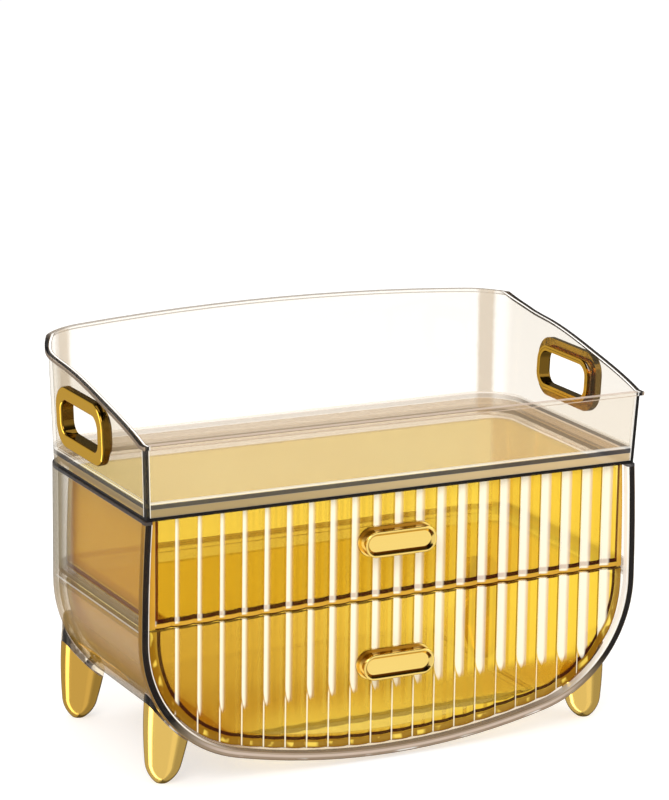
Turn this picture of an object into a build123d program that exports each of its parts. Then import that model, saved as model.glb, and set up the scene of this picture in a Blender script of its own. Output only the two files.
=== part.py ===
from build123d import *
from math import asin, atan2, cos, degrees, radians, sin, sqrt, tan
import os

# Countertop organizer: a clear bowl-bottomed casing on four feet, two drawers and an open tray on top.
# Millimetres, +Z up, front towards -Y. The origin is under the middle of the whole object, on the
# table. Depths are measured backwards from the casing's front plane.

# Casing: a channel with a bowl-shaped bottom, open at the front and at the top
casing_width = 285.0
casing_depth = 141.0
casing_height = 142.5          # top of the walls above the table
ground_clearance = 2.2         # lowest point of the bowl above the table
belly_height = 80.0            # where the casing is widest
corner_radius = 69.0           # lower corners of the bowl
side_radius = 1000.0           # slight lean of the front rim above the belly
rear_radius = 24.0             # rounding of the whole rear edge
casing_wall = 3.0
rim_step = 2.3                 # how far the front rim stands out round the casing's body
rim_thickness = 3.5            # front to back
rim_wall = 4.6                 # from the rim's outline to the front opening
opening_depth = 8.0            # depth of the recess that takes the drawer fronts
rim_rounding = 1.0

# Shelf between the drawers, and the ledge under it
shelf_height = 84.6            # underside
shelf_thickness = 3.0
shelf_clearance = 0.3          # to the casing's walls
ledge_reach = 1.5
ledge_height = 2.5

# Runner rails on the casing's floor, under the lower drawer
rail_setback = 54.0            # rails' middles, inwards from the casing's sides
rail_width = 3.0
rail_height = 3.1              # above the casing's inner face
rail_start = 14.0
rail_rear_gap = 7.0            # from the casing's back

# Drawers
running_clearance = 0.3        # under each drawer
front_inset = 5.7              # front panels, inwards from the casing's outline
crest_depth = 3.4              # front of the flutes
panel_thickness = 3.4
flute_count = 22
flute_relief = 1.3
front_split = 85.3             # height of the joint between the two fronts
front_gap = 0.6
front_top_gap = 0.8            # below the casing's top
box_inset = 8.0                # drawer boxes, inwards from the casing's outline
box_wall = 2.2
box_rear_gap = 14.0            # from the casing's back to a drawer box
box_rounding = 12.0
upper_box_top = 139.5
lower_box_top = 80.0
skirt_depth = 6.0              # bowl-shaped skirt that the lower box keeps below its floor, in front

# Drawer pulls
pull_length = 41.0
pull_height = 13.8
pull_depth = 7.6
pull_flange = 0.8              # how far the base stands out round the pull
pull_flange_thickness = 1.0
pull_rounding = 0.55
dish_length = 35.6             # flat bottom of the dish
dish_width = 8.4
dish_depth = 2.0
dish_slope = 36.0              # degrees
pad_rise = 0.3                 # flat pad under the pull, in front of the flutes
upper_pull_height = 117.2
lower_pull_height = 51.7

# Screws
pull_screw_spacing = 24.0
pull_screw_size = 3.0
pull_screw_bite = 3.6          # into the pull
foot_screw_size = 4.0
foot_screw_bite = 9.0          # into the foot
foot_seat_depth = 0.3          # flat seat for the head, cut into the curved wall
rear_screw_tilt = 10.0         # degrees, along the rounding of the rear edge
screw_clearance = 0.15         # round a shank and beyond its end
head_ratio = 1.85              # head to shank, across
head_height_ratio = 0.5        # head's height to shank, across
cross_ratio = 0.9              # cross recess to shank, across
cross_width_ratio = 0.18

# Feet, and the clear collars above them
foot_setback = 18.2            # tips, inwards from the casing's sides
front_foot_depth = 17.2
rear_foot_setback = 13.6       # tips, forwards from the casing's back
foot_lean = 6.4                # degrees, tips outwards
foot_tip_radius = 2.8
foot_bulge_radius = 7.3        # half way up the rounded tip
foot_bulge_height = 4.8
foot_shoulder_radius = 9.5
foot_shoulder_height = 11.0
foot_side_radius = 12.2
foot_side_height = 31.0
foot_top_radius = 13.2
foot_blank_height = 56.0       # before its top is cut to the bowl
collar_thickness = 3.0

# Top tray
tray_setback = 0.9             # inwards from the casing's body, at the sides and the back
tray_front_setback = 0.4
tray_flare = 2.5               # degrees
tray_wall = 1.8
tray_skirt_height = 6.0        # from the casing's top to the floor's underside
tray_floor_thickness = 2.75
tray_front_rise = 39.3         # rim of the front wall above the casing's top
tray_side_rise = 50.2          # rim of a side wall, at three depths
tray_side_depth = 48.0
tray_rear_rise = 58.1
tray_rear_setback = 43.0       # forwards from the casing's back
tray_shoulder_rise = 65.7
tray_shoulder_setback = 8.0
tray_back_rise = 72.8          # top of the arched rim at the back
tray_arch_radius = 1470.0
tray_front_radius = 3.5
bead_reach = 1.7
bead_height = 2.0
lip_drop = 3.0                 # locating lip, down inside the casing's walls
lip_rise = 2.5                 # its root, up inside the tray's skirt
lip_thickness = 2.0
lip_clearance = 0.3
lip_start = 12.0

# Finger rings in the tray's sides
ring_offset = 3.5              # ring's middle, behind the middle of the casing's depth
ring_rise = 32.2               # and above the casing's top
ring_length = 61.5
ring_width = 32.4
ring_corner = 12.0
ring_thickness = 4.3           # outwards from the tray's wall
ring_rounding = 1.4
finger_length = 47.5
finger_width = 18.4
finger_corner = 6.5
sleeve_wall = 1.5
sleeve_clearance = 0.2
backing_margin = 1.4           # round the sleeve
backing_thickness = 1.2

# Places that follow from the sizes above
flare_slope = tan(radians(tray_flare))
pad_depth = crest_depth - pad_rise
panel_back = crest_depth + panel_thickness
shelf_top = shelf_height + shelf_thickness
upper_floor_height = shelf_top + running_clearance
tray_floor_height = casing_height + tray_skirt_height
tray_floor_top = tray_floor_height + tray_floor_thickness
ring_height = casing_height + ring_rise
rear_reach = casing_depth - tray_setback + tray_back_rise * flare_slope + bead_reach
front_reach = pull_depth - pad_depth
front_y = (front_reach - rear_reach) / 2

# The bowl's outline: one long arc below, two corner arcs, and a nearly upright arc on each side
corner_x = casing_width / 2 - corner_radius
side_x = casing_width / 2 - side_radius
bowl_drop = belly_height - ground_clearance
bottom_radius = (corner_x ** 2 + bowl_drop ** 2 - corner_radius ** 2) / (2 * (bowl_drop - corner_radius))
bottom_z = ground_clearance + bottom_radius
join_angle = degrees(atan2(bottom_z - belly_height, corner_x))
body_half = casing_width / 2 - rim_step
rail_x = casing_width / 2 - rail_setback
inner_radius = bottom_radius - rim_step - casing_wall
rail_top = bottom_z - sqrt(inner_radius ** 2 - rail_x ** 2) + rail_height
lower_floor_height = rail_top + running_clearance


def upright(depth):
    # Plane that faces the front, at a depth
    return Plane.XZ.offset(-(front_y + depth))


def level(height):
    return Plane.XY.offset(height)


def bowl_outline(inset, depth, sides_upright):
    # The casing's outline, moved inwards, with leaning or upright sides above the belly
    top_angle = degrees(asin((casing_height - belly_height) / (side_radius - inset)))
    with BuildSketch(upright(depth)) as outline:
        with BuildLine():
            CenterArc((0, bottom_z), bottom_radius - inset, join_angle - 180, 180 - 2 * join_angle)
            corner = CenterArc((corner_x, belly_height), corner_radius - inset, -join_angle, join_angle)
            if sides_upright:
                side = Line(corner @ 1, ((corner @ 1).X, casing_height))
            else:
                side = CenterArc((side_x, belly_height), side_radius - inset, 0, top_angle)
            mirror([corner, side], about=Plane.YZ)
            Line(side @ 1, (-(side @ 1).X, casing_height))
        make_face()
    return outline.sketch


def bowl_block(inset, near, far, rounding=0.0, sides_upright=False):
    # Solid with that outline between two depths, its rear edge rounded below the level top
    with BuildPart() as block:
        extrude(bowl_outline(inset, far, sides_upright), amount=far - near)
        if rounding > 0:
            rear_edges = block.faces().sort_by(Axis.Y)[-1].edges().sort_by(Axis.Z)
            fillet(rear_edges[:-1], rounding)
    return block.part


def body_block(inset, near, far, rounding=0.0):
    # The same behind the front rim, measured from the casing's body
    return bowl_block(rim_step + inset, near, far, rounding, sides_upright=True)


def slab(part, low, high):
    # What lies between two heights
    with BuildPart() as piece:
        add(part)
        split(bisect_by=level(low), keep=Keep.TOP)
        split(bisect_by=level(high), keep=Keep.BOTTOM)
    return piece.part


def pan_screw(seat, size, length):
    # Cross-recessed pan head on the seat plane, with its shank below
    head_height = size * head_height_ratio
    outwards = Axis(seat.origin, seat.z_dir)
    with BuildPart(seat) as screw:
        Cylinder(size * head_ratio / 2, head_height, align=(Align.CENTER, Align.CENTER, Align.MIN))
        fillet(screw.edges().filter_by(GeomType.CIRCLE).sort_by(outwards)[-1], head_height / 2)
        Cylinder(size / 2, length, align=(Align.CENTER, Align.CENTER, Align.MAX))
        with BuildSketch(seat.offset(head_height)):
            Rectangle(size * cross_ratio, size * cross_width_ratio)
            Rectangle(size * cross_width_ratio, size * cross_ratio)
        extrude(amount=-head_height / 2, mode=Mode.SUBTRACT)
    return screw.part


# Foot screws: square to the casing's wall, where the corner arc crosses the foot's axis. The rear
# pair follows the rounding of the rear edge a little.
tip_x = casing_width / 2 - foot_setback
rear_foot_depth = casing_depth - rear_foot_setback
axis_x = tip_x - (belly_height - corner_radius * sin(radians(45))) * tan(radians(foot_lean))
screw_angle = atan2(sqrt(corner_radius ** 2 - (axis_x - corner_x) ** 2), axis_x - corner_x)
rear_bend_depth = casing_depth - rear_radius


def foot_screw_seat(side, depth, tilt):
    # Seat of the head on the wall's inner face, facing into the casing
    bend = rear_radius - casing_wall + foot_seat_depth
    radius = corner_radius - rim_step - rear_radius + bend * cos(radians(tilt))
    seat_point = (side * (corner_x + radius * cos(screw_angle)),
                  front_y + depth + bend * sin(radians(tilt)),
                  belly_height - radius * sin(screw_angle))
    inwards = (-side * cos(screw_angle) * cos(radians(tilt)), -sin(radians(tilt)),
               sin(screw_angle) * cos(radians(tilt)))
    return Plane(origin=seat_point, x_dir=(0, cos(radians(tilt)), sin(radians(tilt))), z_dir=inwards)


front_seats = [foot_screw_seat(side, front_foot_depth, 0) for side in (-1, 1)]
rear_seats = [foot_screw_seat(side, rear_bend_depth, rear_screw_tilt) for side in (-1, 1)]
foot_screw_length = casing_wall - foot_seat_depth + collar_thickness + foot_screw_bite

# Casing shell: body, front rim, shelf ledge and runner rails
outer_body = body_block(0, 0, casing_depth, rear_radius)
cavity = body_block(casing_wall, opening_depth, casing_depth - casing_wall, rear_radius - casing_wall)

ledge_inset = casing_wall + ledge_reach
with BuildPart() as shelf_ledge:
    add(cavity)
    add(body_block(ledge_inset, opening_depth, casing_depth - ledge_inset, rear_radius - ledge_inset),
        mode=Mode.SUBTRACT)

rail_inset = casing_wall / 2
with BuildPart() as runner_rails:
    with Locations((-rail_x, front_y + rail_start), (rail_x, front_y + rail_start)):
        Box(rail_width, casing_depth - rail_rear_gap - rail_start, rail_top,
            align=(Align.CENTER, Align.MIN, Align.MIN))
    add(body_block(rail_inset, 0, casing_depth - rail_inset, rear_radius - rail_inset),
        mode=Mode.INTERSECT)

with BuildPart() as case_shell:
    add(outer_body)
    add(bowl_block(0, 0, rim_thickness))
    add(cavity, mode=Mode.SUBTRACT)
    add(bowl_block(rim_wall, 0, opening_depth), mode=Mode.SUBTRACT)
    rim_edges = case_shell.faces().sort_by(Axis.Y)[0].edges().filter_by(GeomType.CIRCLE)
    fillet(rim_edges, rim_rounding)
    add(slab(shelf_ledge.part, shelf_height - ledge_height, shelf_height))
    add(runner_rails.part)
    for seat in front_seats + rear_seats:
        with BuildSketch(seat):
            Circle(foot_screw_size * head_ratio / 2 + screw_clearance)
        extrude(amount=casing_wall, mode=Mode.SUBTRACT)
        with BuildSketch(seat):
            Circle(foot_screw_size / 2 + screw_clearance)
        extrude(amount=-casing_wall * 2, mode=Mode.SUBTRACT)

# Shelf between the drawers, on the ledge
shelf_inset = casing_wall + shelf_clearance
shelf_block = body_block(shelf_inset, opening_depth, casing_depth - shelf_inset, rear_radius - shelf_inset)
with BuildPart() as middle_shelf:
    add(slab(shelf_block, shelf_height, shelf_top))


# Drawer boxes: open at the top and towards their fronts
def drawer_box(floor_height, top):
    box_back = casing_depth - box_rear_gap
    hollow = bowl_block(box_inset + box_wall, panel_back, box_back - box_wall, box_rounding - box_wall)
    with BuildPart() as box:
        add(slab(bowl_block(box_inset, panel_back, box_back, box_rounding), floor_height, top))
        add(slab(hollow, floor_height + box_wall, casing_height), mode=Mode.SUBTRACT)
    return box.part


with BuildPart() as upper_drawer_box:
    add(drawer_box(upper_floor_height, upper_box_top))

with BuildPart() as front_skirt:
    add(bowl_block(box_inset, panel_back, panel_back + skirt_depth))
    add(bowl_block(box_inset + box_wall, panel_back, panel_back + skirt_depth), mode=Mode.SUBTRACT)

with BuildPart() as lower_drawer_box:
    add(drawer_box(lower_floor_height, lower_box_top))
    add(slab(front_skirt.part, ground_clearance, lower_floor_height))


# Drawer fronts: convex upright flutes over the whole face, and a flat pad for the pull
def drawer_front(low, high, pad_height):
    half_width = casing_width / 2 - front_inset
    pitch = 2 * half_width / flute_count
    valley_y = front_y + crest_depth + flute_relief
    back_y = front_y + panel_back
    with BuildPart() as front:
        with BuildSketch(level(low)):
            with BuildLine():
                for flute in range(flute_count):
                    flute_x = flute * pitch - half_width
                    SagittaArc((flute_x, valley_y), (flute_x + pitch, valley_y), -flute_relief)
                Polyline((half_width, valley_y), (half_width, back_y), (-half_width, back_y),
                         (-half_width, valley_y))
            make_face()
        extrude(amount=high - low)
        add(bowl_block(front_inset, 0, panel_back), mode=Mode.INTERSECT)
        with BuildSketch(upright(panel_back)):
            with Locations((0, pad_height)):
                SlotOverall(pull_length + 2 * pull_flange, pull_height + 2 * pull_flange)
        extrude(amount=panel_back - pad_depth)
        with BuildSketch(upright(panel_back)):
            with Locations((0, pad_height)):
                with GridLocations(pull_screw_spacing, 0, 2, 1):
                    Circle(pull_screw_size / 2 + screw_clearance)
        extrude(amount=panel_back, mode=Mode.SUBTRACT)
    return front.part


front_top = casing_height - front_top_gap
with BuildPart() as upper_drawer_front:
    add(drawer_front(front_split + front_gap / 2, front_top, upper_pull_height))

with BuildPart() as lower_drawer_front:
    add(drawer_front(ground_clearance, front_split - front_gap / 2, lower_pull_height))


# Drawer pulls: a dished block on a thin flange, held by two screws from inside the drawer
def drawer_pull(height):
    front_depth = pad_depth - pull_depth
    with BuildPart() as pull:
        with BuildSketch(upright(pad_depth)):
            with Locations((0, height)):
                SlotOverall(pull_length, pull_height)
        extrude(amount=pull_depth)
        with BuildSketch(upright(front_depth + dish_depth)):
            with Locations((0, height)):
                SlotOverall(dish_length, dish_width)
        extrude(amount=dish_depth, taper=-dish_slope, mode=Mode.SUBTRACT)
        fillet(pull.faces().sort_by(Axis.Y)[0].edges(), pull_rounding)
        with BuildSketch(upright(pad_depth)):
            with Locations((0, height)):
                SlotOverall(pull_length + 2 * pull_flange, pull_height + 2 * pull_flange)
        extrude(amount=pull_flange_thickness)
        with BuildSketch(upright(pad_depth)):
            with Locations((0, height)):
                with GridLocations(pull_screw_spacing, 0, 2, 1):
                    Circle(pull_screw_size / 2 + screw_clearance)
        extrude(amount=pull_screw_bite + screw_clearance, mode=Mode.SUBTRACT)
    return pull.part


def pull_screws(height):
    length = panel_back - pad_depth + pull_screw_bite
    with BuildPart() as screws:
        for side in (-1, 1):
            seat = Plane(origin=(side * pull_screw_spacing / 2, front_y + panel_back, height),
                         x_dir=(1, 0, 0), z_dir=(0, 1, 0))
            add(pan_screw(seat, pull_screw_size, length))
    return screws.part


with BuildPart() as upper_handle:
    add(drawer_pull(upper_pull_height))

with BuildPart() as lower_handle:
    add(drawer_pull(lower_pull_height))

with BuildPart() as upper_handle_screws:
    add(pull_screws(upper_pull_height))

with BuildPart() as lower_handle_screws:
    add(pull_screws(lower_pull_height))


# Feet: turned bullets that lean outwards, their tops cut to the bowl. Each collar fills the space
# between its foot and the casing.
def foot_blank(depth):
    # Left foot, turned about a leaning axis, low enough for the level cut at the tip to leave a whole flat
    lean = radians(foot_lean)
    tip_point = (-tip_x, front_y + depth, -foot_tip_radius * sin(lean))
    stand = Plane(origin=tip_point, x_dir=(cos(lean), 0, -sin(lean)), z_dir=(0, -1, 0))
    with BuildPart() as blank:
        with BuildSketch(stand):
            with BuildLine():
                Line((0, 0), (foot_tip_radius, 0))
                tip = ThreePointArc((foot_tip_radius, 0), (foot_bulge_radius, foot_bulge_height),
                                    (foot_shoulder_radius, foot_shoulder_height))
                flank = ThreePointArc(tip @ 1, (foot_side_radius, foot_side_height),
                                      (foot_top_radius, foot_blank_height))
                Polyline(flank @ 1, (0, foot_blank_height), (0, 0))
            make_face()
        revolve(axis=Axis(stand.origin, stand.y_dir))
    return blank.part


collar_body = body_block(-collar_thickness, 0, casing_depth + foot_top_radius)
foot_parts = {}
collar_parts = {}
for seat, depth, end_name in ((front_seats[0], front_foot_depth, "front"),
                              (rear_seats[0], rear_foot_depth, "rear")):
    with BuildPart() as left_foot:
        add(foot_blank(depth))
        split(bisect_by=level(0), keep=Keep.TOP)
        add(collar_body, mode=Mode.SUBTRACT)
        with BuildSketch(seat):
            Circle(foot_screw_size / 2 + screw_clearance)
        extrude(amount=-foot_screw_length - screw_clearance, mode=Mode.SUBTRACT)
    with BuildPart() as left_collar:
        add(foot_blank(depth))
        add(collar_body, mode=Mode.INTERSECT)
        add(outer_body, mode=Mode.SUBTRACT)
        with BuildSketch(seat):
            Circle(foot_screw_size / 2 + screw_clearance)
        extrude(amount=-foot_screw_length, mode=Mode.SUBTRACT)
    with BuildPart() as right_foot:
        mirror(left_foot.part, about=Plane.YZ)
    with BuildPart() as right_collar:
        mirror(left_collar.part, about=Plane.YZ)
    foot_parts[f"{end_name}_left_foot"] = left_foot.part
    foot_parts[f"{end_name}_right_foot"] = right_foot.part
    collar_parts[f"{end_name}_left_collar"] = left_collar.part
    collar_parts[f"{end_name}_right_collar"] = right_collar.part

with BuildPart() as foot_screws:
    for seat in front_seats + rear_seats:
        add(pan_screw(seat, foot_screw_size, foot_screw_length))


# Top tray: flared walls, a floor above a hollow skirt, and a bead round the rim
def tray_plan(height, inset):
    growth = (height - casing_height) * flare_slope - inset
    half_width = body_half - tray_setback + growth
    near = front_y + tray_front_setback - growth
    far = front_y + casing_depth - tray_setback + growth
    with BuildSketch(level(height)) as plan:
        with Locations((0, (near + far) / 2)):
            Rectangle(2 * half_width, far - near)
        corners = plan.vertices().group_by(Axis.Y)
        fillet(corners[-1], rear_radius - tray_setback + growth)
        fillet(corners[0], tray_front_radius + growth)
    return plan.sketch


def tray_block(low, high, inset):
    with BuildPart() as block:
        loft([tray_plan(low, inset), tray_plan(high, inset)])
    return block.part


tray_reach = casing_width       # well past the tray on every side
tray_blank_height = casing_height + tray_back_rise + bead_height


def below_rim(lowering):
    # Everything below the rim line: level in front, rising along the sides, arched at the back
    base = casing_height - lowering
    with BuildPart() as region:
        with BuildSketch(Plane.YZ.offset(-tray_reach)):
            with BuildLine():
                low_line = Polyline((front_y + tray_wall, base + tray_front_rise),
                                    (front_y - tray_reach, base + tray_front_rise),
                                    (front_y - tray_reach, 0), (front_y + tray_reach, 0),
                                    (front_y + tray_reach, tray_blank_height),
                                    (front_y + casing_depth, tray_blank_height))
                Spline(low_line @ 0,
                       (front_y + tray_side_depth, base + tray_side_rise),
                       (front_y + casing_depth - tray_rear_setback, base + tray_rear_rise),
                       (front_y + casing_depth - tray_shoulder_setback, base + tray_shoulder_rise),
                       low_line @ 1)
            make_face()
        extrude(amount=2 * tray_reach)
        arch_top = base + tray_back_rise
        arch_end = arch_top - tray_arch_radius + sqrt(tray_arch_radius ** 2 - tray_reach ** 2)
        with BuildSketch(upright(2 * tray_reach)):
            with BuildLine():
                arch = ThreePointArc((-tray_reach, arch_end), (0, arch_top), (tray_reach, arch_end))
                Polyline(arch @ 1, (tray_reach, 0), (-tray_reach, 0), arch @ 0)
            make_face()
        extrude(amount=4 * tray_reach, mode=Mode.INTERSECT)
    return region.part


# Planes on the outer faces of the tray's side walls, facing outwards
def ring_plane(side):
    wall_x = body_half - tray_setback + ring_rise * flare_slope
    outwards = (side * cos(radians(tray_flare)), 0, -sin(radians(tray_flare)))
    middle_y = front_y + casing_depth / 2 + ring_offset
    return Plane(origin=(side * wall_x, middle_y, ring_height), x_dir=(0, 1, 0), z_dir=outwards)


wall_through = tray_wall * cos(radians(tray_flare))
sleeve_length = finger_length + 2 * sleeve_wall
sleeve_width = finger_width + 2 * sleeve_wall
sleeve_corner = finger_corner + sleeve_wall

with BuildPart() as tray_bead:
    add(tray_block(tray_floor_top, tray_blank_height, -bead_reach))
    add(below_rim(bead_height), mode=Mode.SUBTRACT)

lip_inset = casing_wall - tray_setback + lip_clearance
with BuildPart() as tray_lip:
    extrude(tray_plan(casing_height, tray_wall / 2), amount=lip_rise)
    extrude(tray_plan(casing_height, lip_inset), amount=-lip_drop)
    extrude(tray_plan(casing_height, lip_inset + lip_thickness), amount=lip_rise, mode=Mode.SUBTRACT)
    extrude(tray_plan(casing_height, lip_inset + lip_thickness), amount=-lip_drop, mode=Mode.SUBTRACT)
    split(bisect_by=upright(lip_start), keep=Keep.BOTTOM)

with BuildPart() as top_tray:
    add(tray_block(casing_height, tray_blank_height, 0))
    add(tray_bead.part)
    add(below_rim(0), mode=Mode.INTERSECT)
    add(tray_block(tray_floor_top, tray_blank_height, tray_wall), mode=Mode.SUBTRACT)
    add(tray_block(casing_height, tray_floor_height, tray_wall), mode=Mode.SUBTRACT)
    add(tray_lip.part)
    for side in (-1, 1):
        with BuildSketch(ring_plane(side)):
            RectangleRounded(sleeve_length + 2 * sleeve_clearance, sleeve_width + 2 * sleeve_clearance,
                             sleeve_corner + sleeve_clearance)
        extrude(amount=-2 * tray_wall, mode=Mode.SUBTRACT)


def grip_bezel(side):
    # Ring outside the wall, with a sleeve through it
    face = ring_plane(side)
    outwards = Axis(face.origin, face.z_dir)
    with BuildPart() as bezel:
        with BuildSketch(face):
            RectangleRounded(ring_length, ring_width, ring_corner)
        extrude(amount=ring_thickness)
        with BuildSketch(face):
            RectangleRounded(sleeve_length, sleeve_width, sleeve_corner)
        extrude(amount=-wall_through - backing_thickness)
        with BuildSketch(face.offset(ring_thickness)):
            RectangleRounded(finger_length, finger_width, finger_corner)
        extrude(amount=-ring_thickness - wall_through - backing_thickness, mode=Mode.SUBTRACT)
        fillet(bezel.faces().sort_by(outwards)[-1].edges(), ring_rounding)
    return bezel.part


def grip_backing(side):
    # Ring on the wall's inner face, round the sleeve
    face = ring_plane(side).offset(-wall_through)
    with BuildPart() as backing:
        with BuildSketch(face):
            RectangleRounded(sleeve_length + 2 * backing_margin, sleeve_width + 2 * backing_margin,
                             sleeve_corner + backing_margin)
            RectangleRounded(sleeve_length + 2 * sleeve_clearance, sleeve_width + 2 * sleeve_clearance,
                             sleeve_corner + sleeve_clearance, mode=Mode.SUBTRACT)
        extrude(amount=-backing_thickness)
    return backing.part


pieces = {
    "case_shell": case_shell.part,
    "middle_shelf": middle_shelf.part,
    "top_tray": top_tray.part,
    "upper_drawer_box": upper_drawer_box.part,
    "upper_drawer_front": upper_drawer_front.part,
    "lower_drawer_box": lower_drawer_box.part,
    "lower_drawer_front": lower_drawer_front.part,
    "upper_handle": upper_handle.part,
    "lower_handle": lower_handle.part,
    "upper_handle_screws": upper_handle_screws.part,
    "lower_handle_screws": lower_handle_screws.part,
    "left_grip_bezel": grip_bezel(-1),
    "right_grip_bezel": grip_bezel(1),
    "left_grip_backing": grip_backing(-1),
    "right_grip_backing": grip_backing(1),
    "foot_screws": foot_screws.part,
    **foot_parts,
    **collar_parts,
}

os.makedirs("parts", exist_ok=True)
for name, piece in pieces.items():
    piece.label = name
    export_step(piece, f"parts/{name}.step")
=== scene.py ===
import bpy
import math
from mathutils import Matrix, Vector


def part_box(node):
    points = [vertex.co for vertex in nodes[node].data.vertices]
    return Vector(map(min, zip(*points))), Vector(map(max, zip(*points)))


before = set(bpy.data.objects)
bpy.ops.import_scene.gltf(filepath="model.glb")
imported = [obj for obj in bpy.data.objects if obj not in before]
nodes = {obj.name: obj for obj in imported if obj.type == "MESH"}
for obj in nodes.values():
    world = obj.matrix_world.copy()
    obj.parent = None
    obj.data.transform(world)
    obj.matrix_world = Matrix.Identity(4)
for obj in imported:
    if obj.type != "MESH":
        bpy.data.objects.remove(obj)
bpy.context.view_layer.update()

scene = bpy.context.scene
millimetres = 1000                       # in a metre: the materials work in millimetres
print("frame loaded:", len(nodes), "nodes")


# Shader writing: a Signal is one socket, and sums and products of signals add Math nodes
class Signal:
    def __init__(self, recipe, socket):
        self.recipe = recipe
        self.socket = socket

    def math(self, operation, first, second=0.0):
        return self.recipe.node("ShaderNodeMath", {"operation": operation}, {0: first, 1: second})

    def __add__(self, other):
        return self.math("ADD", self, other)

    def __radd__(self, other):
        return self.math("ADD", other, self)

    def __sub__(self, other):
        return self.math("SUBTRACT", self, other)

    def __rsub__(self, other):
        return self.math("SUBTRACT", other, self)

    def __mul__(self, other):
        return self.math("MULTIPLY", self, other)

    def __rmul__(self, other):
        return self.math("MULTIPLY", other, self)

    def __truediv__(self, other):
        return self.math("DIVIDE", self, other)

    def __rtruediv__(self, other):
        return self.math("DIVIDE", other, self)

    def __abs__(self):
        return self.math("ABSOLUTE", self)

    def lesser(self, other):
        return self.math("MINIMUM", self, other)

    def greater(self, other):
        return self.math("MAXIMUM", self, other)

    def above(self, other):
        return self.math("GREATER_THAN", self, other)

    def root(self):
        return self.math("SQRT", self)

    def fraction(self):
        return self.math("FRACT", self)

    def ramp(self, start, end):
        # 0 at start and 1 at end, smooth between them, whichever of the two is higher
        return self.recipe.node("ShaderNodeMapRange", {"interpolation_type": "SMOOTHSTEP"},
                                {"Value": self, "From Min": start, "From Max": end})

    def band(self, low, high, soft):
        # 1 between low and high
        return self.ramp(low - soft, low + soft) * self.ramp(high + soft, high - soft)

    def within(self, *limits):
        # A ramp for two limits, a band for three
        return self.band(*limits) if len(limits) == 3 else self.ramp(*limits)


class Recipe:
    # One material's or the world's node tree
    def __init__(self, tree):
        self.tree = tree
        tree.nodes.clear()

    def node(self, kind, settings=None, sockets=None, output=0):
        made = self.tree.nodes.new(kind)
        for name, value in (settings or {}).items():
            setattr(made, name, value)
        for name, value in (sockets or {}).items():
            socket = made.inputs[name]
            if isinstance(value, Signal):
                self.tree.links.new(value.socket, socket)
            elif socket.type == "RGBA":
                socket.default_value = (*value, 1.0)
            else:
                socket.default_value = value
        return Signal(self, made.outputs[output]) if made.outputs else None

    def split(self, vector):
        return [self.node("ShaderNodeSeparateXYZ", None, {0: vector}, axis) for axis in "XYZ"]

    def place(self):
        # Where a point is on the resting object: across, back from the front, up
        across, back, up = self.split(self.node("ShaderNodeTexCoord", output="Object"))
        return across * millimetres, back * millimetres - frontPlane, up * millimetres

    def facing(self):
        return self.split(self.node("ShaderNodeNewGeometry", output="Normal"))

    def noise(self, scale, detail=2.0, stretch=(1, 1, 1)):
        point = self.node("ShaderNodeTexCoord", output="Object")
        point = self.node("ShaderNodeVectorMath", {"operation": "MULTIPLY"}, {0: point, 1: stretch})
        sockets = {"Vector": point, "Scale": scale, "Detail": detail}
        return self.node("ShaderNodeTexNoise", None, sockets, "Fac")

    def mixColor(self, factor, first, second):
        # 6, 7 and 2 are the node's colour sockets
        return self.node("ShaderNodeMix", {"data_type": "RGBA"}, {0: factor, 6: first, 7: second}, 2)

    def sharpness(self, radius):
        # Above 0 where an edge is within the radius
        soft = self.node("ShaderNodeBevel", {"samples": 6}, {"Radius": radius})
        normal = self.node("ShaderNodeNewGeometry", output="Normal")
        same = {0: soft, 1: normal}
        return 1 - self.node("ShaderNodeVectorMath", {"operation": "DOT_PRODUCT"}, same, "Value")

    def finish(self, surface):
        self.node("ShaderNodeOutputMaterial", None, {"Surface": surface})


def material(name):
    made = bpy.data.materials.new(name)
    made.use_nodes = True
    return made, Recipe(made.node_tree)


def dress(finish, *names):
    for name in names:
        mesh = nodes[name].data
        mesh.materials.clear()
        mesh.materials.append(finish)


def tone(red, green, blue):
    # A colour as a screen shows it, 0 to 255, made linear
    return tuple(((value / 255 + 0.055) / 1.055) ** 2.4 for value in (red, green, blue))


def pick(mask, inside, outside):
    return outside + mask * (inside - outside)


def distance(first, second):
    return (first * first + second * second).root()


# The frame's own sizes, in millimetres: the materials place their lines by them
caseLow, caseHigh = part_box("case_shell")
frontPlane = caseLow[1] * millimetres
caseBottom = caseLow[2] * millimetres
caseTop = caseHigh[2] * millimetres
halfCase = caseHigh[0] * millimetres
outline = {                              # of the casing, seen from the front
    "belly": 80.0,                       # height of the widest place
    "sideRadius": 1000.0,
    "cornerAcross": 73.5,                # centre of the corner's arc
    "cornerRadius": 69.0,
    "joinAcross": 88.4,                  # where the corner's arc meets the bottom's
    "bottomRadius": 380.35,
}


def insetFromOutline(across, height):
    # How far inside the casing's outline a point is, seen from the front
    side = abs(across)
    overBelly = height - outline["belly"]
    bottomCentre = caseBottom + outline["bottomRadius"]
    bottom = outline["bottomRadius"] - distance(across, height - bottomCentre)
    corner = outline["cornerRadius"] - distance(side - outline["cornerAcross"], overBelly)
    wall = outline["sideRadius"] - distance(side + (outline["sideRadius"] - halfCase), overBelly)
    below = pick(side.above(outline["joinAcross"]), corner, bottom)
    return pick(height.above(outline["belly"]), wall, below)


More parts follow.
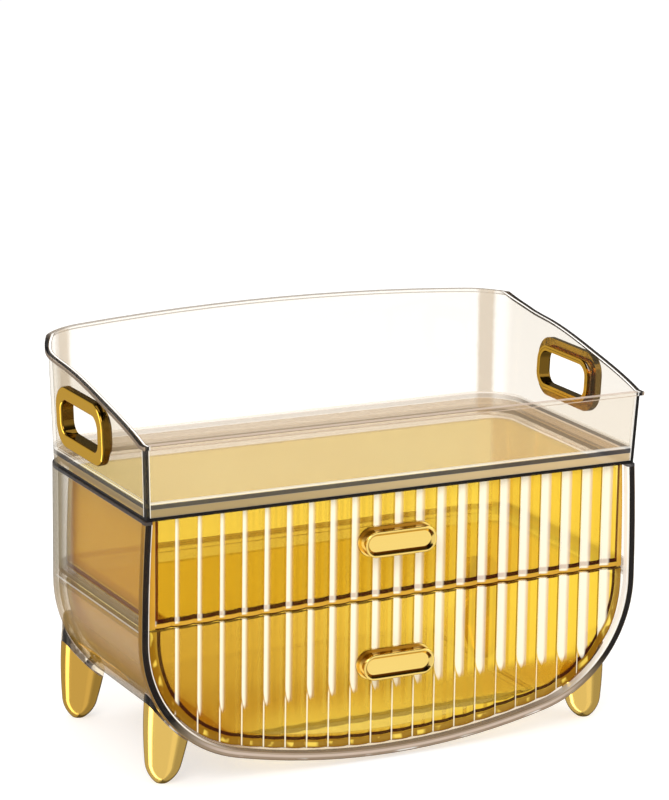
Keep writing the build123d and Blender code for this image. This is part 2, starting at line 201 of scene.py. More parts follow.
# A painted line is its colour, how opaque it is and the limits between which it lies: two for a ramp
# from 0 to 1, or a band's two and how soft its ends are. Limits are millimetres, or a share of 1 along
# a normal, a noise or an edge's sharpness.
def paint(recipe, look, layers, base=(1.0, 1.0, 1.0), cover=0.0):
    # Lays each line over the ones before it: its name, a mask, and what its limits are measured along
    color = base
    for name, mask, *along in layers:
        lineColor, opacity, *limits = look[name]
        for measure in along:
            mask = mask * measure.within(*limits)
        color = recipe.mixColor(mask, color, lineColor)
        cover = mask * (opacity - cover) + cover
    return color, cover


# Clear plastic, with a faint champagne tint
clearPlastic = {
    "tint": (0.975, 0.957, 0.925),
    "roughness": 0.03,
    "specular": 0.05,
    "gloss": 0.015,                      # mirror share when seen straight on
    "grazing": 0.4,                      # and what it gains towards grazing
    "paintedGlow": 0.16,                        # painted glow: emission on the painted lines, standing in for light that bounces about inside them
    "skirting": (tone(116, 94, 50), 0.55, 0.80, 0.97),    # painted on walls seen along their face
    "edgeRadius": 0.0009,                # metres
}
# Tones of the painted shade lines, the painted shade veil and the painted glints that stand in for what
# refraction and reflection show on clear plastic
clearTones = {
    "dark": tone(26, 24, 24),
    "slate": tone(62, 60, 62),
    "brown": tone(96, 74, 48),
    "champagne": tone(194, 172, 134),
    "pink": tone(206, 187, 172),
    "taupe": tone(160, 140, 120),
    "shadeVeil": tone(150, 137, 108),
    "ledge": tone(150, 128, 96),
    "glint": (1.0, 0.985, 0.95),
}


def glassy(recipe, plastic, color, cover):
    # A mirror coat that grows towards grazing, and the painted lines on the clear body, which carry a
    # painted glow
    facing = recipe.node("ShaderNodeLayerWeight", output="Facing")
    squared = facing * facing
    coat = squared * squared * facing * plastic["grazing"] + plastic["gloss"]
    skirtingColor, opacity, *limits = plastic["skirting"]
    skirting = facing.ramp(*limits) * opacity
    color = recipe.mixColor(skirting, color, skirtingColor)
    cover = skirting.greater(cover)
    shine = recipe.node("ShaderNodeBsdfPrincipled", None, {
        "Base Color": color,
        "Metallic": coat / (coat + cover),
        "Roughness": plastic["roughness"],
        "Emission Color": recipe.mixColor(cover, (0.0, 0.0, 0.0), color),
        "Emission Strength": plastic["paintedGlow"],
        "Specular IOR Level": plastic["specular"],
    })
    clear = recipe.node("ShaderNodeBsdfTransparent", None, {"Color": plastic["tint"]})
    recipe.finish(recipe.node("ShaderNodeMixShader", None, {0: coat.greater(cover), 1: clear, 2: shine}))


# Casing: painted dark lines and painted glints on the thick rim round the front opening, and painted
# shade for what its walls show
casing = {
    "rimDepth": (4.3, 3.9),              # where the rim ends, behind the front
    "upright": (14, 40),                 # heights between the bottom and the sides
    # Painted shade for what the walls show, less of it on the right
    "flank": (60, 90),                   # from the middle out to a side
    "rightEnd": (-40, 40),
    "rightLoss": 0.75,
    "bowlHeight": (96, 50),
    "bowlDepth": (136, 126),
    "bowl": (tone(190, 146, 24), 0.46),
    "rearDepth": (97, 111),
    "rear": (clearTones["shadeVeil"], 0.6, 126, 134),
    # A painted line and a painted glint on the ledges that carry the shelf
    "ledgeSide": (120, 124),
    "ledgeDepth": (120, 110),
    "ledge": (clearTones["ledge"], 0.42, 80.5, 89.5, 0.4),
    "ledgeGlint": (clearTones["glint"], 0.35, 83.2, 84.2, 0.2),
    # Painted dark lines on the edges, and painted shade over the front rim
    "edge": (clearTones["brown"], 0.6, 0.02, 0.2),
    "rim": (clearTones["champagne"], 0.5),
    # Painted dark lines, a painted stripe and painted glints on the rim along the bottom, by how far
    # inside the outline
    "bottom": (clearTones["taupe"], 0.88),
    "bottomStripe": (clearTones["pink"], 0.92, 1.9, 3.3, 0.3),
    "bottomGlint": (clearTones["glint"], 0.85, 0.9, 1.5, 0.25),
    "bottomOuter": (clearTones["brown"], 0.9, 0.6, 0.35),
    "bottomInner": (clearTones["brown"], 0.85, 3.9, 4.2),
    "glowScale": 55.0,                   # the painted glint comes and goes
    "glow": (0.5, 0.68),
    # Painted dark lines and painted glints on the rim up the sides
    "sideInner": (clearTones["glint"], 0.85, 3.8, 4.0),
    "sideOuter": (tone(150, 110, 44), 0.85, 0.6, 0.3),
    "sideDark": (clearTones["dark"], 0.97, 0.55, 3.75, 0.15),
    "top": (clearTones["slate"], 0.93, caseTop - 1.7, caseTop - 1.4),    # a painted dark line near the top, by height
}


def casePlastic(name, plastic, look):
    made, recipe = material(name)
    across, depth, height = recipe.place()
    side = abs(across)
    inset = insetFromOutline(across, height)
    front = depth.ramp(*look["rimDepth"])
    behind = 1 - front
    upright = height.ramp(*look["upright"])
    low = front * (1 - upright)
    high = front * upright
    flank = side.ramp(*look["flank"]) * (1 - across.ramp(*look["rightEnd"]) * look["rightLoss"])
    bowl = behind * flank * height.ramp(*look["bowlHeight"]) * depth.ramp(*look["bowlDepth"])
    ledge = behind * side.ramp(*look["ledgeSide"]) * depth.ramp(*look["ledgeDepth"])
    glow = recipe.noise(look["glowScale"]).ramp(*look["glow"])
    # Painted shade on the walls, and painted dark lines and glints on the rim and the edges
    layers = [
        ("rear", depth.ramp(*look["rearDepth"]) * flank, side),
        ("bowl", bowl),
        ("ledge", ledge, height),
        ("ledgeGlint", ledge, height),
        ("edge", 1.0, recipe.sharpness(plastic["edgeRadius"])),
        ("rim", front),
        ("bottom", low),
        ("bottomStripe", low, inset),
        ("bottomGlint", low * glow, inset),
        ("bottomOuter", low, inset),
        ("bottomInner", low, inset),
        ("sideInner", high, inset),
        ("sideOuter", high, inset),
        ("sideDark", high, inset),
        ("top", 1.0, height),
    ]
    glassy(recipe, plastic, *paint(recipe, look, layers))
    return made


dress(casePlastic("case_plastic", clearPlastic, casing), "case_shell")

# Top tray: its floor, its foot and its rim carry painted dark lines for shade and painted bright lines
# for highlights
tray = {
    # Outer faces of the walls at the bottom, and how they lean out
    "bottom": 142.5,
    "halfWidth": 139.3,
    "front": 0.4,
    "back": 140.1,
    "rearRadius": 23.1,
    "flare": math.tan(math.radians(2.5)),
    # Which faces are walls, the rim's top and the rim's sides, by how far up or down they face
    "wall": (0.7, 0.4),
    "upward": (0.45, 0.75),
    "flat": (0.45, 0.2),
    "rimHeight": (160, 165),
    "floorFace": (0.85, 0.95),
    "floor": (tone(214, 190, 158), 0.28, 154, 152),
    # Painted lines on the edges, the rim's top painted lighter where it faces up, and painted shade on
    # the rim's back, the rear corners and the side walls
    "edge": (clearTones["champagne"], 0.5, 0.02, 0.2),
    "rimTop": (clearTones["pink"], 0.75),
    "rimBack": (clearTones["brown"], 0.6, 190, 195),
    "rearCornerDepth": (100, 110),
    "rearCorner": (clearTones["champagne"], 0.35, 0.25, 0.6, 0.06),
    "sideWall": (clearTones["shadeVeil"], 0.12, 0.7, 0.9),
    # Painted lines round its outside, dark ones for shade and bright ones for highlights, by height: they
    # weaken towards the back
    "farDepth": (110, 130),
    "farLoss": 0.55,
    "bandTurn": (-130, 120),             # across, from the left colour to the right one
    "bandEnds": (tone(166, 144, 106), tone(214, 190, 150)),
    "band": (0.66, 144.4, 148.5, 0.1),   # its colour is worked out from the two ends, darker at the left as painted shade
    "gleam": (clearTones["glint"], 0.55, 151.2, 152.0, 0.15),
    "floorLine": (clearTones["slate"], 0.92, 148.5, 151.0, 0.15),
    "foot": (clearTones["dark"], 0.93, 142.4, 144.4, 0.12),
    # A painted dark line and a painted glint on the front corners, by how far a point is from the
    # corner's edge
    "cornerHeight": (143.5, 144),
    "cornerDepth": (7, 6),
    "cornerWidth": (-6, -5),
    "cornerStretch": 1.8,
    "cornerDark": (clearTones["dark"], 0.94, 3.4, 3.1),
    "cornerGlint": (clearTones["glint"], 0.7, 3.3, 4.1, 0.15),
    # Painted dark lines, a painted glint and a painted highlight on the rim of the sides, by how far a
    # point is outside the wall's outer face
    "rimStart": (160, 163),
    "rimEnd": (140, 130),
    "rimInside": (-2.1, -1.9),
    "rimOutside": (0.15, 0.3),
    "rimBase": (clearTones["brown"], 0.8),
    "rimGlint": (clearTones["glint"], 0.9, -1.5, -0.6, 0.1),
    "rimDark": (clearTones["dark"], 0.95, -0.3, -0.1),
    "rimEdge": (clearTones["taupe"], 0.7, 0.5, 0.7),
}


def trayPlastic(name, plastic, look):
    made, recipe = material(name)
    across, depth, height = recipe.place()
    facing = recipe.facing()
    sideways, vertical = abs(facing[0]), abs(facing[2])
    lean = (height - look["bottom"]) * look["flare"]
    # How far outside the outer face of the side and back walls a point is
    outward = abs(across) - look["halfWidth"] + look["rearRadius"]
    backward = depth - look["back"] + look["rearRadius"]
    beyond = distance(outward.greater(0.0), backward.greater(0.0)) + outward.greater(backward).lesser(0.0)
    beyond = beyond - look["rearRadius"] - lean
    behind = depth + lean - look["front"]
    wall = vertical.ramp(*look["wall"])
    upward = facing[2].ramp(*look["upward"]) * height.ramp(*look["rimHeight"])
    near = 1 - depth.ramp(*look["farDepth"]) * look["farLoss"]
    cornerReach = distance(beyond * look["cornerStretch"], behind)
    corner = height.ramp(*look["cornerHeight"]) * behind.ramp(*look["cornerDepth"])
    corner = corner * beyond.ramp(*look["cornerWidth"])
    rim = upward.greater(beyond.ramp(*look["rimOutside"])) * beyond.ramp(*look["rimInside"])
    rim = rim * height.ramp(*look["rimStart"]) * depth.ramp(*look["rimEnd"])
    bandColor = recipe.mixColor(across.ramp(*look["bandTurn"]), *look["bandEnds"])
    # Painted shade lines and painted highlights
    layers = [
        ("floor", facing[2].ramp(*look["floorFace"]), height),
        ("edge", 1.0, recipe.sharpness(plastic["edgeRadius"])),
        ("rimTop", upward),
        ("rimBack", upward, height),
        ("rearCorner", depth.ramp(*look["rearCornerDepth"]) * wall, sideways),
        ("sideWall", 1 - upward, sideways),
        ("band", wall * near, height),
        ("gleam", wall, height),
        ("floorLine", wall * near, height),
        ("cornerGlint", corner, cornerReach),
        ("cornerDark", corner, cornerReach),
        ("foot", wall * near, height),
        ("rimBase", rim),
        ("rimGlint", rim, beyond),
        ("rimDark", rim, beyond),
        ("rimEdge", rim * vertical.ramp(*look["flat"]), beyond),
    ]
    glassy(recipe, plastic, *paint(recipe, dict(look, band=(bandColor, *look["band"])), layers))
    return made


dress(trayPlastic("tray_plastic", clearPlastic, tray), "top_tray")

# Shelf between the drawers: its rim and its ends on the ledges are painted brown as shade, with painted
# dark lines on its edges
shelf = {
    "rimFace": (0.6, 0.4),
    "ends": (125, 129),
    "rim": (clearTones["ledge"], 0.6),
    "edge": (clearTones["brown"], 0.5, 0.02, 0.2),
}


def shelfPlastic(name, plastic, look):
    made, recipe = material(name)
    across = recipe.place()[0]
    rim = abs(recipe.facing()[2]).ramp(*look["rimFace"])
    layers = [
        ("rim", rim.greater(abs(across).ramp(*look["ends"]))),
        ("edge", 1.0, recipe.sharpness(plastic["edgeRadius"])),
    ]
    glassy(recipe, plastic, *paint(recipe, look, layers))
    return made


dress(shelfPlastic("shelf_plastic", clearPlastic, shelf), "middle_shelf")

# Clear spacers: thick plastic painted with dark and bright patches, a painted stand-in for its
# surroundings bent by refraction
footLow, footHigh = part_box("front_right_foot")
footMiddle = (footLow[0] + footHigh[0]) / 2 * millimetres
collarClear = dict(clearPlastic, tint=(0.93, 0.88, 0.78))
collar = {
    "outer": (footMiddle - 5, footMiddle + 1),    # the half on the casing's outer side
    "patchScale": 95.0,
    "patchDetail": 3.0,
    "patchStretch": (1.0, 1.0, 0.5),
    "brown": (tone(74, 52, 34), 0.85, 0.38, 0.48),
    "dark": (clearTones["dark"], 0.95, 0.52, 0.56),
    "glint": (clearTones["glint"], 0.8, 0.36, 0.32),
    "edge": (clearTones["pink"], 0.7, 0.02, 0.2),
}


def collarPlastic(name, plastic, look):
    made, recipe = material(name)
    outer = abs(recipe.place()[0]).ramp(*look["outer"])
    patch = recipe.noise(look["patchScale"], look["patchDetail"], look["patchStretch"])
    layers = [
        ("brown", outer, patch),
        ("dark", outer, patch),
        ("glint", outer, patch),
        ("edge", 1.0, recipe.sharpness(plastic["edgeRadius"])),
    ]
    glassy(recipe, plastic, *paint(recipe, look, layers))
    return made


dress(collarPlastic("collar_plastic", collarClear, collar),
      "front_left_collar", "front_right_collar", "rear_left_collar", "rear_right_collar")
print("clear plastic on")

# Amber plastic of the drawers
amberPlastic = {
    "tint": (0.990, 0.905, 0.48),
    "roughness": 0.05,
    "specular": 0.05,
    "gloss": 0.04,
    "grazing": 0.3,
    # painted glow on the painted lines, as on the clear plastic
    "paintedGlow": 0.2,
    "skirting": (tone(120, 70, 14), 0.5, 0.82, 0.98),
    "edgeRadius": 0.0009,
    "body": tone(226, 165, 45),
    "bodyShare": 0.06,
}
# Tones of the painted shade, painted light, painted highlights and painted reflections on the amber
# plastic
amberTones = {
    "dark": tone(54, 14, 0),
    "maroon": tone(92, 34, 0),
    "boxLine": tone(120, 66, 0),
    "olive": tone(124, 96, 24),
    "shadow": tone(162, 100, 10),
    "honey": tone(216, 164, 58),
    "honeyDark": tone(142, 98, 14),
    "sun": tone(255, 218, 72),
    "gleam": tone(255, 222, 92),
    "cream": tone(255, 248, 226),
    "creamShade": tone(226, 204, 176),
}

# Drawer boxes: painted shade on the left, painted light on the right, with painted dark lines round their
# floors
boxClear = dict(amberPlastic, tint=(0.990, 0.935, 0.62))
drawerBox = {
    "cloudScale": 30.0,                  # the body is a little cloudy
    "clouds": (0.3, 0.7),
    "cloudLeast": 0.5,
    "sideFace": (0.15, 0.5),             # how far a side wall faces sideways
    "leftward": (60, -60),
    "outer": (124, 128),                 # the sides' outer faces
    # painted shade on the left walls, and painted light on the right ones below
    "flank": (tone(208, 154, 4), 0.62),
    "sun": (amberTones["sun"], 0.3),
    "rearDepth": (60, 70),
    "rearLine": (amberTones["boxLine"], 0.5, 0.5, 0.8, 0.1),           # a painted dark line on the rounded rear corners
    "upperFloor": (amberTones["boxLine"], 0.88, 88.4, 91.0, 0.25),     # painted dark lines by the floors; the limits are heights
    "lowerTop": (amberTones["boxLine"], 0.5, 78.6, 80.4, 0.2),
    "edge": (amberTones["maroon"], 0.7, 0.04, 0.25),
}


def boxPlastic(name, plastic, look):
    made, recipe = material(name)
    across, depth, height = recipe.place()
    sideways = abs(recipe.facing()[0])
    sides = sideways.ramp(*look["sideFace"])
    leftward = across.ramp(*look["leftward"])
    outer = abs(across).ramp(*look["outer"])
    cloud = pick(recipe.noise(look["cloudScale"]).ramp(*look["clouds"]), 1.0, look["cloudLeast"])
    # Painted shade, painted light and painted dark lines
    layers = [
        ("flank", sides * leftward),
        ("sun", sides * (1 - leftward)),
        ("rearLine", depth.ramp(*look["rearDepth"]) * leftward, sideways),
        ("upperFloor", outer, height),
        ("lowerTop", outer, height),
        ("edge", 1.0, recipe.sharpness(plastic["edgeRadius"])),
    ]
    glassy(recipe, plastic, *paint(recipe, look, layers, plastic["body"], cloud * plastic["bodyShare"]))
    return made


dress(boxPlastic("amber_box", boxClear, drawerBox), "upper_drawer_box", "lower_drawer_box")

# Drawer fronts: a row of flutes, each with a painted reflection as its bright stripe, and the box seen
# through them as painted lines
flutes = {
    "first": -136.8,                     # left end of the row
    "pitch": 12.436,
    "shift": 4.5,                        # how far left of its valley a flute's pattern starts
    "left": 0.4,                         # the stripe's left edge in the middle of the row
    "widening": 0.0125,                  # the left edge moves out towards the right end
    "right": 4.2,                        # the stripe's right edge
    "leftSoftness": (-0.25, 0.25),
    "rightSoftness": (0.4, -1.7),
}
drawerFront = {
    "depth": (5.4, 5.0),                 # the outer face lies in front of this
    "gleamEnd": (90, -10),               # across
    "duskEnd": (110, 0),
    # Painted highlight (gleam), painted shade (valley, shade) and the stripe, a painted reflection
    "gleam": (amberTones["gleam"], 0.42, -3.6, -1.6, 0.5),             # from the stripe's left edge
    "valley": (amberTones["olive"], 0.66, -1.1, -0.2, 0.3),
    "shade": (amberTones["creamShade"], 0.72, -2.2, 0.6, 0.4),         # from its right edge
    "reflectedStripe": (amberTones["cream"], 0.9),
    "edge": (amberTones["maroon"], 0.75, 0.04, 0.25),
}
upperFront = {
    **drawerFront,
    # painted light on the right, and painted shade on the left and between the flutes
    "sun": (amberTones["sun"], 0.5, -60, 50),
    "dusk": (amberTones["shadow"], 0.3, 5.0, 7.0, 0.6),
    "leftShadow": (amberTones["shadow"], 0.2, 110, -150),
    "stripeStart": (86.9, 87.6),         # heights
    "valleyStart": (87.4, 88.0),
    # Painted lines on the lower edge, and a painted dark line for the box's floor behind it
    "lip": (amberTones["honey"], 0.85, 88.6, 88.0),
    "gap": (amberTones["dark"], 0.92, 86.4, 86.1),
    "boxFloor": (amberTones["dark"], 0.95, 88.4, 90.8, 0.25),
    # painted shade where the dark floor line crosses the stripes
    "stripeCross": (tone(214, 198, 182), 0.9, 88.4, 90.8, 0.6),
    "stripeEnd": (131.8, 131.2),         # across
    "boxSide": 132.6,                    # the box's side wall shows through the front here, drawn as painted lines
    "beyondSide": (amberTones["honey"], 0.8, 0.6, 0.9),
    "sideLineHeight": (89.5, 90.5),
    "sideLine": (amberTones["maroon"], 0.92, -0.75, 0.75, 0.2),
}
lowerFront = {
    **drawerFront,
    # painted light on the right, and painted shade on the left and between the flutes
    "sun": (amberTones["sun"], 0.7, -60, 50),
    "dusk": (amberTones["shadow"], 0.12, 5.0, 7.0, 0.6),
    "leftShadow": (amberTones["shadow"], 0.6, 110, -150),
    # The painted reflected stripes end in points
    "tip": 36.3,
    "tipLength": 10.0,
    "tipLeft": 0.62,                     # how much of the narrowing is on the left
    "tipSoftness": 0.3,
    "stripeStart": (-1, 4),              # heights from the tip
    "shadeStart": (0, 3),
    "threadEnd": (6, 2),
    "stripeInset": (9.5, 10.5),
    "thread": (amberTones["cream"], 0.85, -0.1, 0.55, 0.12),    # a painted reflected line that goes on below the point
    # Painted highlight and painted shade at the bottom of the bowl, and painted dark reflections in its
    # corner
    "gleamHeight": (40, 22),
    "gleamInset": (12, 14),
    "bottomGleam": (amberTones["gleam"], 0.3, -75, 25, 30),
    "shadowHeight": (25, 38, 5),
    "bottomShadow": (amberTones["shadow"], 0.26, 0, 60),
    "patchScale": 110.0,
    "patches": (0.46, 0.54),
    "patchInset": (6.5, 12.5, 1),
    "patchHeight": (22, 58, 6),
    "cornerDarkReflections": (amberTones["maroon"], 0.6, 84, 100),
    "bandInset": (12, 13),
    "oliveBand": (amberTones["olive"], 0.6, 20.5, 24.6, 0.3),    # a painted band for the box's floor behind it
    # Flange round the bowl, painted darker and with painted glints, by how far inside the outline
    "flange": (amberTones["honeyDark"], 0.8, 10.2, 9.6),
    "sparkScale": 170.0,
    "sparkDetail": 1.0,
    "sparkStretch": (1.0, 1.0, 0.6),
    "sparks": (0.5, 0.6),
    "sparkPlace": (-3.2, 2.8, 1.5),      # from the stripe's right edge
    "flangeSparks": (amberTones["gleam"], 0.75, 6.6, 8.8, 0.5),
    # painted dark lines for the box's outline and the gap
    "boxOutline": (amberTones["dark"], 0.95, 10.0, 11.9, 0.25),
    "gap": (amberTones["dark"], 0.9, 84.3, 84.5),
}


def fluteRow(across):
    # How far a point is from the left and the right edge of its flute's painted reflected stripe, and
    # that stripe
    turn = ((across - flutes["first"] + flutes["shift"]) / flutes["pitch"]).fraction()
    fromRight = turn * flutes["pitch"] - (flutes["shift"] + flutes["right"])
    fromLeft = fromRight + (across * flutes["widening"] + (flutes["right"] - flutes["left"]))
    reflectedStripe = fromLeft.ramp(*flutes["leftSoftness"]) * fromRight.ramp(*flutes["rightSoftness"])
    return fromLeft, fromRight, reflectedStripe


def fluteLayers(look, across, fromLeft, fromRight, outside, valley, shade):
    # Painted light (sun), painted highlight (gleam) and painted shade (dusk, valley, shade, leftShadow)
    return [
        ("sun", outside, across),
        ("gleam", outside * across.ramp(*look["gleamEnd"]), fromLeft),
        ("dusk", outside * across.ramp(*look["duskEnd"]), fromLeft),
        ("valley", valley, fromLeft),
        ("shade", shade, fromRight),
        ("leftShadow", outside, across),
    ]


def upperFrontPlastic(name, plastic, look):
    made, recipe = material(name)
    across, depth, height = recipe.place()
    fromLeft, fromRight, reflectedStripe = fluteRow(across)
    outside = depth.ramp(*look["depth"])
    shade = outside * height.ramp(*look["stripeStart"])
    valley = outside * height.ramp(*look["valleyStart"])
    reflectedStripe = reflectedStripe * shade * across.ramp(*look["stripeEnd"])
    beyondSide = abs(across) - look["boxSide"]
    # Painted light, painted shade, painted highlights and the painted reflected stripes
    layers = fluteLayers(look, across, fromLeft, fromRight, outside, valley, shade) + [
        ("lip", outside, height),
        ("gap", outside, height),
        ("boxFloor", outside, height),
        ("reflectedStripe", reflectedStripe),
        ("stripeCross", reflectedStripe, height),
        ("beyondSide", outside, beyondSide),
        ("sideLine", outside * height.ramp(*look["sideLineHeight"]), beyondSide),
        ("edge", 1.0, recipe.sharpness(plastic["edgeRadius"])),
    ]
    glassy(recipe, plastic, *paint(recipe, look, layers, plastic["body"], plastic["bodyShare"]))
    return made


def lowerFrontPlastic(name, plastic, look):
    made, recipe = material(name)
    across, depth, height = recipe.place()
    inset = insetFromOutline(across, height)
    fromLeft, fromRight, reflectedStripe = fluteRow(across)
    outside = depth.ramp(*look["depth"])
    overTip = height - look["tip"]
    narrowing = (1 - overTip / look["tipLength"]).greater(0.0)
    narrowing = narrowing * narrowing * (fromLeft - fromRight)
    soft = look["tipSoftness"]
    blade = (fromLeft - narrowing * look["tipLeft"]).ramp(-soft, soft)
    blade = blade * (fromRight + narrowing * (1 - look["tipLeft"])).ramp(soft, -soft)
    reflectedStripe = outside * reflectedStripe * blade * inset.ramp(*look["stripeInset"])
    reflectedStripe = reflectedStripe * overTip.ramp(*look["stripeStart"])
    shade = outside * overTip.ramp(*look["shadeStart"])
    gleam = outside * height.ramp(*look["gleamHeight"]) * inset.ramp(*look["gleamInset"])
    patches = recipe.noise(look["patchScale"]).ramp(*look["patches"])
    patches = outside * patches * inset.band(*look["patchInset"]) * height.band(*look["patchHeight"])
    sparks = recipe.noise(look["sparkScale"], look["sparkDetail"], look["sparkStretch"])
    sparks = outside * sparks.ramp(*look["sparks"]) * fromRight.band(*look["sparkPlace"])
    # Painted light, painted shade, painted highlights, painted dark reflections and the painted reflected
    # stripes
    layers = fluteLayers(look, across, fromLeft, fromRight, outside, outside, shade) + [
        ("bottomGleam", gleam, across),
        ("bottomShadow", outside * height.band(*look["shadowHeight"]), across),
        ("cornerDarkReflections", patches, across),
        ("oliveBand", outside * inset.ramp(*look["bandInset"]), height),
        ("flange", outside, inset),
        ("flangeSparks", sparks, inset),
        ("gap", outside, height),
        ("boxOutline", outside, inset),
        ("reflectedStripe", reflectedStripe),
        ("thread", outside * overTip.ramp(*look["threadEnd"]), fromLeft),
        ("edge", 1.0, recipe.sharpness(plastic["edgeRadius"])),
    ]
    glassy(recipe, plastic, *paint(recipe, look, layers, plastic["body"], plastic["bodyShare"]))
    return made


dress(upperFrontPlastic("upper_front", amberPlastic, upperFront), "upper_drawer_front")
dress(lowerFrontPlastic("lower_front", amberPlastic, lowerFront), "lower_drawer_front")
print("amber plastic on")

# Gold plating
gold = {
    "ripple": 0.05,
    "rippleScale": 60.0,
    "rimTint": (1.0, 0.86, 0.60),        # what it turns to where it is seen edge-on
}
goldFeet = {**gold, "color": tone(244, 203, 108), "roughness": 0.15}
# The rear feet get a darker copy of the gold: painted shade from the casing above them
goldRearFeetShaded = {**goldFeet, "color": tone(214, 168, 76)}
goldRings = {
    **gold,
    # deeper than the feet's gold: painted shade
    "color": tone(236, 184, 68),
    "roughness": 0.12,
    "ripple": 0.03,
    "narrowSideShade": tone(112, 84, 30),     # the rings' narrow sides, in and out, painted darker as shade
    "broadFace": (0.45, 0.85),
}
goldPulls = {
    **gold,
    # paler than the feet's gold: a painted highlight
    "color": tone(255, 220, 124),
    "roughness": 0.12,
    "ripple": 0.04,
    "dish": tone(60, 42, 12),            # painted shadow on the lower slope of the dish
    "dishBelow": (3.2, 5.6, 0.3),        # under the pull's middle
    "dishSlope": (0.12, 0.3),
    "dishLevel": (0.97, 0.9),
    "dishFront": (0.1, 0.3),
    "stemShade": tone(110, 66, 16),           # painted shade on the stem behind the rim, seen from above
    "stemShare": 0.85,
    "stemDepth": (-3.4, -2.9),
    "stemFace": (0.1, 0.5),
}
steelScrews = {
    **gold,
    "color": (0.72, 0.70, 0.66),
    "roughness": 0.25,
    "ripple": 0.1,
    "rimTint": (1.0, 1.0, 1.0),
}


def platedMetal(recipe, look, color):
    cloud = recipe.noise(look["rippleScale"])
    recipe.finish(recipe.node("ShaderNodeBsdfPrincipled", None, {
        "Base Color": color,
        "Metallic": 1.0,
        "Roughness": look["roughness"] + (cloud - 0.5) * look["ripple"],
        "Specular Tint": look["rimTint"],
    }))


def plainMetal(name, look):
    made, recipe = material(name)
    platedMetal(recipe, look, look["color"])
    return made


def ringMetal(name, look):
    made, recipe = material(name)
    # Narrow sides painted darker: painted shade
    broad = abs(recipe.facing()[0]).ramp(*look["broadFace"])
    platedMetal(recipe, look, recipe.mixColor(broad, look["narrowSideShade"], look["color"]))
    return made


def pullMetal(name, look, middle):
    made, recipe = material(name)
    depth, height = recipe.place()[1:]
    facing = recipe.facing()
    # Painted shadow on the dish's lower slope, and painted shade on the stem
    dish = facing[2].ramp(*look["dishSlope"]) * facing[2].ramp(*look["dishLevel"])
    dish = dish * (0 - facing[1]).ramp(*look["dishFront"]) * (middle - height).band(*look["dishBelow"])
    stemShade = depth.ramp(*look["stemDepth"]) * facing[2].ramp(*look["stemFace"])
    color = recipe.mixColor(dish, look["color"], look["dish"])
    platedMetal(recipe, look, recipe.mixColor(stemShade * look["stemShare"], color, look["stemShade"]))
    return made


dress(plainMetal("gold_front_feet", goldFeet), "front_left_foot", "front_right_foot")
dress(plainMetal("gold_rear_feet_shaded", goldRearFeetShaded), "rear_left_foot", "rear_right_foot")
dress(ringMetal("gold_rings", goldRings),
      "left_grip_bezel", "right_grip_bezel", "left_grip_backing", "right_grip_backing")
for pull in ("upper_handle", "lower_handle"):
    low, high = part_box(pull)
    dress(pullMetal("gold_" + pull, goldPulls, (low[2] + high[2]) / 2 * millimetres), pull)
dress(plainMetal("screw_steel", steelScrews), "upper_handle_screws", "lower_handle_screws", "foot_screws")
print("metal on")

# Pale floor that keeps the shadow
floorLook = {
    "size": 12.0,
    "drop": 0.0002,                      # under the feet
    "color": (0.52, 0.51, 0.50),
    "glow": 0.62,
}


def rays(recipe):
    # Rays that show the background: straight, mirrored and through glass
    kinds = ("Is Camera Ray", "Is Glossy Ray", "Is Transmission Ray")
    return [recipe.node("ShaderNodeLightPath", output=kind) for kind in kinds]


def makeFloor():
    half = floorLook["size"] / 2
    corners = [(-half, -half, 0), (half, -half, 0), (half, half, 0), (-half, half, 0)]
    mesh = bpy.data.meshes.new("studio_floor")
    mesh.from_pydata(corners, [], [(0, 1, 2, 3)])
    floor = bpy.data.objects.new("studio_floor", mesh)
    floor.location.z = -floorLook["drop"]
    scene.collection.objects.link(floor)
    made, recipe = material("studio_floor")
    straight, mirrored, through = rays(recipe)
    strength = straight.greater(mirrored).greater(through) * floorLook["glow"]
    dull = recipe.node("ShaderNodeBsdfDiffuse", None, {"Color": floorLook["color"]})
    glow = recipe.node("ShaderNodeEmission", None, {"Color": (1.0, 1.0, 1.0), "Strength": strength})
    recipe.finish(recipe.node("ShaderNodeAddShader", None, {0: dull, 1: glow}))
    mesh.materials.append(made)
    floor.visible_glossy = False         # mirror finishes see the studio's soft boxes all round


makeFloor()

# World: white to the viewer, and for mirror finishes a studio with soft boxes and darker walls
worldLook = {
    "light": 0.75,
    "seen": 1.0,
    "mirrored": 0.46,                    # walls of the studio
    "ceiling": (0.35, 0.75),             # where they darken towards the ceiling
    "ceilingLoss": 0.9,
    "boxSoftness": 5.0,                  # degrees
    "boxes": [                           # turn from the front and half width, degrees, strength
        (-112, 12, 3.0),
        (-30, 66, 0.38),
        (27, 22, 0.12),
        (-155, 22, 0.12),
        (150, 30, -0.32),                # a dark screen
    ],
}


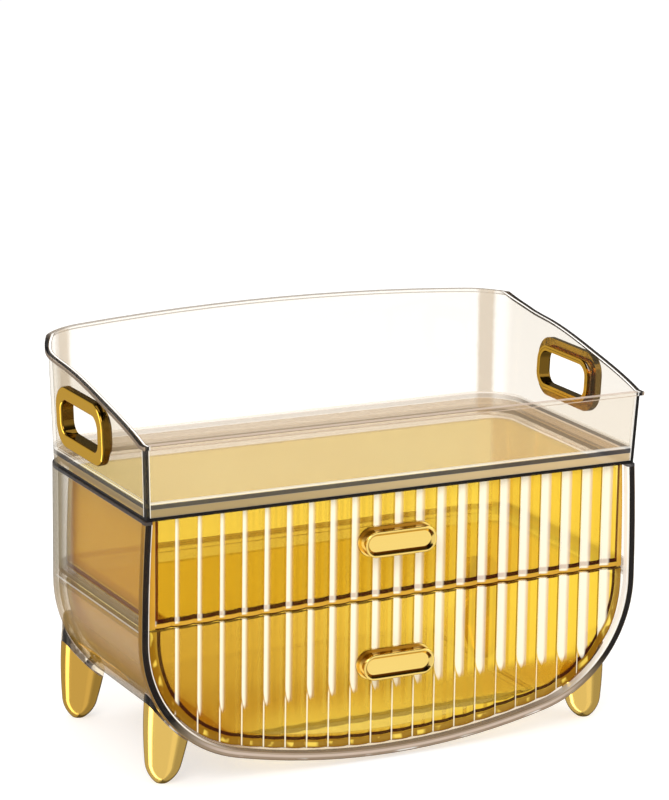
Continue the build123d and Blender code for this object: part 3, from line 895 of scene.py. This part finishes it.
def makeWorld():
    world = bpy.data.worlds.new("studio")
    world.use_nodes = True
    scene.world = world
    recipe = Recipe(world.node_tree)
    across, back, up = recipe.split(recipe.node("ShaderNodeTexCoord", output="Generated"))
    turn = recipe.node("ShaderNodeMath", {"operation": "ARCTAN2"}, {0: across, 1: 0 - back})
    turn = turn * math.degrees(1)
    room = worldLook["mirrored"]
    for middle, half, strength in worldLook["boxes"]:
        room = turn.band(middle - half, middle + half, worldLook["boxSoftness"]) * strength + room
    room = room * (1 - up.ramp(*worldLook["ceiling"]) * worldLook["ceilingLoss"])
    straight, mirrored, through = rays(recipe)
    plain = pick(straight.greater(through), worldLook["seen"], worldLook["light"])
    light = recipe.node("ShaderNodeBackground", None,
                        {"Color": (1.0, 1.0, 1.0), "Strength": pick(mirrored, room, plain)})
    recipe.node("ShaderNodeOutputWorld", None, {"Surface": light})


makeWorld()

# Soft lamps that face the object: metres and watts
lampAim = (0, 0, 0.1)
lamps = {
    "key": {"place": (-1.2, -1.3, 1.6), "size": 1.0, "power": 22.0, "color": (1.0, 0.98, 0.95)},
    "fill": {"place": (1.4, -0.8, 0.9), "size": 1.2, "power": 8.0, "color": (1.0, 0.99, 0.97)},
    "top": {"place": (0.0, 0.4, 1.8), "size": 1.4, "power": 10.0, "color": (1.0, 1.0, 1.0)},
}
for name, lamp in lamps.items():
    light = bpy.data.lights.new(name, "AREA")
    light.size = lamp["size"]
    light.energy = lamp["power"]
    light.color = lamp["color"]
    holder = bpy.data.objects.new(name, light)
    holder.location = lamp["place"]
    holder.rotation_euler = (Vector(lampAim) - Vector(lamp["place"])).to_track_quat("-Z", "Y").to_euler()
    scene.collection.objects.link(holder)

# Camera: where the photograph was taken from
photoCamera = {
    "place": (-0.776546, -1.535102, 0.599796),
    "turn": -26.777,                     # degrees
    "pitch": 13.878,
    "roll": 0.774,
    "lens": 152.2245,                    # millimetres
    "sensor": 36.0,
}


def makeCamera():
    turn, pitch, roll = (math.radians(photoCamera[key]) for key in ("turn", "pitch", "roll"))
    right = Vector((math.cos(turn), math.sin(turn), 0))
    level = Vector((-math.sin(turn), math.cos(turn), 0))
    forward = level * math.cos(pitch) - Vector((0, 0, math.sin(pitch)))
    up = right.cross(forward)
    across = right * math.cos(roll) + up * math.sin(roll)
    above = up * math.cos(roll) - right * math.sin(roll)
    camera = bpy.data.cameras.new("photo_camera")
    camera.sensor_width = photoCamera["sensor"]
    camera.lens = photoCamera["lens"]
    holder = bpy.data.objects.new("photo_camera", camera)
    turned = Matrix((across, above, -forward)).transposed().to_4x4()
    holder.matrix_world = Matrix.Translation(photoCamera["place"]) @ turned
    scene.collection.objects.link(holder)
    scene.camera = holder


makeCamera()
scene.view_settings.view_transform = "Standard"
scene.cycles.transparent_max_bounces = 32          # enough for a view through every clear wall
print("studio ready")
